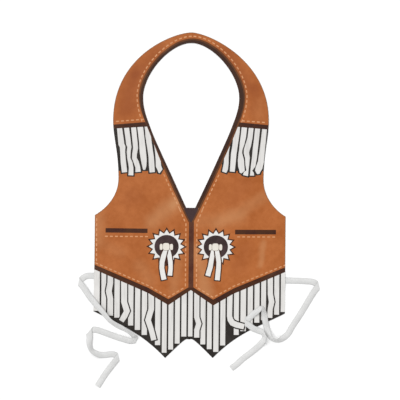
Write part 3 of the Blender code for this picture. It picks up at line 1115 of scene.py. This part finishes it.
def mix_node(tree, part, first, second, blend="MIX"):
    """A Mix node for colours, with each value given or an output to link"""
    node = tree.nodes.new("ShaderNodeMix")
    node.data_type = "RGBA"
    node.blend_type = blend
    for socket, value in ((node.inputs[0], part), (node.inputs[6], first), (node.inputs[7], second)):
        if isinstance(value, (int, float, list, tuple)):
            socket.default_value = value
        else:
            tree.links.new(value, socket)
    return node.outputs[2]


def ranged(tree, value, low, high, to_low, to_high):
    """A value that goes smoothly from one range to another"""
    node = tree.nodes.new("ShaderNodeMapRange")
    node.interpolation_type = "SMOOTHSTEP"
    for socket, number in zip(node.inputs[1:5], (low, high, to_low, to_high)):
        socket.default_value = number
    tree.links.new(value, node.inputs[0])
    return node.outputs[0]


def shaded(tree, colour, shade):
    """A colour made darker or lighter by a value near one"""
    grey = tree.nodes.new("ShaderNodeCombineColor")
    for socket in grey.inputs[:3]:
        tree.links.new(shade, socket)
    return mix_node(tree, 1.0, colour, grey.outputs[0], "MULTIPLY")


def object_place(tree):
    return tree.nodes.new("ShaderNodeTexCoord").outputs["Object"]


def place_group(tree, group, **values):
    """A node of this group, with its inputs by name, an underscore for a space"""
    node = tree.nodes.new("ShaderNodeGroup")
    node.node_tree = group
    for label, value in values.items():
        node.inputs[label.replace("_", " ")].default_value = value
    return node


def mottle_group():
    """Where a printed colour drifts from one tone to another, in broad patches with finer clouds in them"""
    tree, given, result = new_group(
        "print mottle",
        [("Patch Scale", "NodeSocketFloat", PATCH_SCALE), ("Cloud Scale", "NodeSocketFloat", CLOUD_SCALE)],
        [("Patch", "NodeSocketFloat"), ("Cloud", "NodeSocketFloat"), ("Speck", "NodeSocketFloat")],
    )
    place = object_place(tree)
    patch = noise_node(tree, place, given.outputs["Patch Scale"], 2.0, 0.45)
    cloud = noise_node(tree, place, given.outputs["Cloud Scale"], 4.0, 0.6)
    speck = noise_node(tree, place, 900.0, 2.0, 0.6)
    tree.links.new(ranged(tree, patch, 0.36, 0.64, 0.0, 1.0), result.inputs["Patch"])
    tree.links.new(ranged(tree, cloud, 0.3, 0.7, 0.0, 1.0), result.inputs["Cloud"])
    tree.links.new(ranged(tree, speck, 0.25, 0.75, 0.0, 1.0), result.inputs["Speck"])
    return tree


def film_group():
    """The film's own face under every ink: a fine pebble pressed into it and a sheen that varies with it"""
    tree, given, result = new_group(
        "film face",
        [("Pebble Scale", "NodeSocketFloat", 620.0), ("Roughness", "NodeSocketFloat", FILM_ROUGHNESS)],
        [("Height", "NodeSocketFloat"), ("Roughness", "NodeSocketFloat")],
    )
    place = object_place(tree)
    cells = tree.nodes.new("ShaderNodeTexVoronoi")
    cells.feature = "SMOOTH_F1"
    tree.links.new(place, cells.inputs["Vector"])
    tree.links.new(given.outputs["Pebble Scale"], cells.inputs["Scale"])
    soft = noise_node(tree, place, 45.0, 2.0)
    pebble = math_node(tree, "MULTIPLY", cells.outputs["Distance"], 0.6)
    height = math_node(tree, "ADD", pebble, math_node(tree, "MULTIPLY", soft, 1.4))
    tree.links.new(height, result.inputs["Height"])
    drift = math_node(tree, "MULTIPLY_ADD", soft, 0.2, -0.1)
    tree.links.new(math_node(tree, "ADD", given.outputs["Roughness"], drift), result.inputs["Roughness"])
    return tree


def streak_group():
    """How near a place is to the middle of a soft streak: a start, the way to its end, and a reach"""
    tree, given, result = new_group(
        "soft streak",
        [
            ("Place", "NodeSocketVector", (0.0, 0.0, 0.0)),
            ("From", "NodeSocketVector", (0.0, 0.0, 0.0)),
            ("Way", "NodeSocketVector", (1.0, 0.0, 0.0)),
            ("Reach", "NodeSocketFloat", 0.02),
        ],
        [("Mask", "NodeSocketFloat")],
    )
    way = given.outputs["Way"]
    off = vector_node(tree, "SUBTRACT", given.outputs["Place"], given.outputs["From"])
    off = vector_node(tree, "MULTIPLY", off, (1.0, 1.0, 0.0))
    along = vector_node(tree, "DOT_PRODUCT", off, way, "Value")
    part = math_node(tree, "DIVIDE", along, vector_node(tree, "DOT_PRODUCT", way, way, "Value"))
    part = math_node(tree, "MINIMUM", math_node(tree, "MAXIMUM", part, 0.0), 1.0)
    nearest = tree.nodes.new("ShaderNodeVectorMath")
    nearest.operation = "SCALE"
    tree.links.new(way, nearest.inputs["Vector"])
    tree.links.new(part, nearest.inputs["Scale"])
    far = vector_node(tree, "DISTANCE", off, nearest.outputs["Vector"], "Value")
    far = math_node(tree, "DIVIDE", far, given.outputs["Reach"])
    tree.links.new(ranged(tree, far, 0.0, 1.0, 1.0, 0.0), result.inputs["Mask"])
    return tree


def film_material(name, groups, tones, cloud_scale=CLOUD_SCALE, speck=0.06, lay_over=None):
    """An ink on the film: two tones that drift into each other, and what lay_over adds to them"""
    material, tree, shader = new_material(name)
    mottle = place_group(tree, groups["mottle"], Patch_Scale=PATCH_SCALE, Cloud_Scale=cloud_scale)
    patch = math_node(tree, "MULTIPLY", mottle.outputs["Patch"], 1.0 - CLOUD_SHARE)
    cloud = math_node(tree, "MULTIPLY", mottle.outputs["Cloud"], CLOUD_SHARE)
    colour = mix_node(tree, math_node(tree, "ADD", patch, cloud), paint_of(*tones[0]), paint_of(*tones[1]))
    shade = math_node(tree, "MULTIPLY_ADD", mottle.outputs["Speck"], -2 * speck, 1.0 + speck)
    colour = shaded(tree, colour, shade)
    if lay_over:
        colour = lay_over(tree, colour)
    tree.links.new(colour, shader.inputs["Base Color"])
    face = place_group(tree, groups["film"], Roughness=FILM_ROUGHNESS)
    tree.links.new(face.outputs["Roughness"], shader.inputs["Roughness"])
    add_bump(tree, shader, face.outputs["Height"], *FILM_BUMP)
    shader.inputs["Specular IOR Level"].default_value = FILM_SPECULAR
    return material


def leather_sheen_and_streaks(tree, colour, soft_streak):
    """The leather's painted sheen highlights and its darker streaks, laid over its colour"""
    noise = tree.nodes.new("ShaderNodeTexNoise")
    noise.inputs["Scale"].default_value = 34.0
    noise.inputs["Detail"].default_value = 3.0
    place = object_place(tree)
    tree.links.new(place, noise.inputs["Vector"])
    push = vector_node(tree, "SUBTRACT", noise.outputs["Color"], (0.5, 0.5, 0.5))
    push = vector_node(tree, "MULTIPLY", push, (STREAK_WOBBLE * MM,) * 3)
    place = vector_node(tree, "ADD", place, push)
    # The lighter streaks are painted sheen highlights; the others darken the leather's colour
    for streaks, tone in ((SHEEN_HIGHLIGHT_STREAKS, SHEEN_HIGHLIGHT_TONE), (DARK_STREAKS, DARK_TONE)):
        total = 0.0
        for streak in streaks:
            spot = place_group(
                tree,
                soft_streak,
                From=(streak.ax * MM, streak.ay * MM, 0.0),
                Way=((streak.bx - streak.ax) * MM, (streak.by - streak.ay) * MM, 0.0),
                Reach=streak.reach * MM,
            )
            tree.links.new(place, spot.inputs["Place"])
            mask = math_node(tree, "MULTIPLY", spot.outputs["Mask"], streak.strength)
            total = math_node(tree, "ADD", total, mask)
        colour = mix_node(tree, math_node(tree, "MINIMUM", total, STREAK_LIMIT), colour, paint_of(*tone))
    return colour


def streaky_strip(tree, colour):
    """Faint streaks down the pale strips, laid over their colour"""
    stretched = tree.nodes.new("ShaderNodeMapping")
    stretched.inputs["Scale"].default_value = (1.0, 0.045, 1.0)
    tree.links.new(object_place(tree), stretched.inputs["Vector"])
    streak = noise_node(tree, stretched.outputs["Vector"], 420.0, 3.0, 0.65)
    return mix_node(tree, ranged(tree, streak, 0.46, 0.74, 0.0, 0.26), colour, paint_of(*STRIP_SHADE))


def make_inks():
    """Every finish that the sheet shows, by name"""
    groups = {"mottle": mottle_group(), "film": film_group()}
    inks = {name: film_material(name, groups, tones) for name, tones in INK_TONES.items()}
    sheen_and_streaks = partial(leather_sheen_and_streaks, soft_streak=streak_group())
    inks["leather"] = film_material("leather", groups, LEATHER_TONES, lay_over=sheen_and_streaks)
    inks["pale strip"] = film_material(
        "pale strip", groups, STRIP_TONES, cloud_scale=60.0, speck=0.01, lay_over=streaky_strip
    )
    return inks


def tape_material():
    """A narrow woven tape: close threads across and along it, and firmer edges with painted shade on both"""
    material, tree, shader = new_material("woven tape")
    place = tree.nodes.new("ShaderNodeUVMap")
    place.uv_map = "weave"
    split = tree.nodes.new("ShaderNodeSeparateXYZ")
    tree.links.new(place.outputs["UV"], split.inputs["Vector"])
    warp = math_node(tree, "MULTIPLY", split.outputs["X"], 2 * pi / (WARP_PITCH * MM))
    warp = math_node(tree, "SINE", warp)
    weft = math_node(tree, "MULTIPLY", split.outputs["Y"], 2 * pi / (WEFT_PITCH * MM))
    woven = math_node(tree, "MULTIPLY", warp, math_node(tree, "SINE", weft))
    ribs = math_node(tree, "MULTIPLY", math_node(tree, "ABSOLUTE", warp), 0.8)
    middle = TAPE_WIDTH / 2 * MM
    out = math_node(tree, "ABSOLUTE", math_node(tree, "SUBTRACT", split.outputs["X"], middle))
    selvedge_and_shade = ranged(tree, out, 0.7 * middle, 0.92 * middle, 0.0, 1.0)
    uneven = ranged(tree, noise_node(tree, place.outputs["UV"], 60.0, 3.0), 0.3, 0.7, 0.0, 1.0)
    colour = mix_node(tree, uneven, paint_of(*TAPE_TONES[0]), paint_of(*TAPE_TONES[1]))
    # Both edges painted darker: for the firmer selvedge and as painted shade along them
    colour = mix_node(tree, math_node(tree, "MULTIPLY", selvedge_and_shade, 0.35), colour, paint_of(*SELVEDGE_SHADE_TONE))
    shade = math_node(tree, "MULTIPLY_ADD", woven, 0.03, 0.97)
    tree.links.new(shaded(tree, colour, shade), shader.inputs["Base Color"])
    shader.inputs["Roughness"].default_value = 0.85
    shader.inputs["Sheen Weight"].default_value = 0.15
    add_bump(tree, shader, math_node(tree, "ADD", woven, ribs), *TAPE_BUMP)
    return material


def main():
    bpy.context.scene.view_settings.view_transform = "Standard"
    add_camera()
    add_light()
    add_floor()
    film, area = add_film(make_inks())
    tree = BVHTree.FromPolygons(
        [v.co / MM for v in film.data.vertices], [tuple(p.vertices) for p in film.data.polygons]
    )
    woven = tape_material()
    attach(film, "root")
    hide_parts("vest_panel")
    for name, node, runs, curls in (
        ("left_tape", "tie_left", LEFT_RUNS, LEFT_CURLS),
        ("right_tape", "tie_right", RIGHT_RUNS, RIGHT_CURLS),
    ):
        tape, line, length = add_tape(name, runs, curls, tree, woven)
        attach(tape, "root")
        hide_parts(node)
        print(name, "length", round(length, 4))
    print("film area", round(area, 5), "faces", len(film.data.polygons))


main()
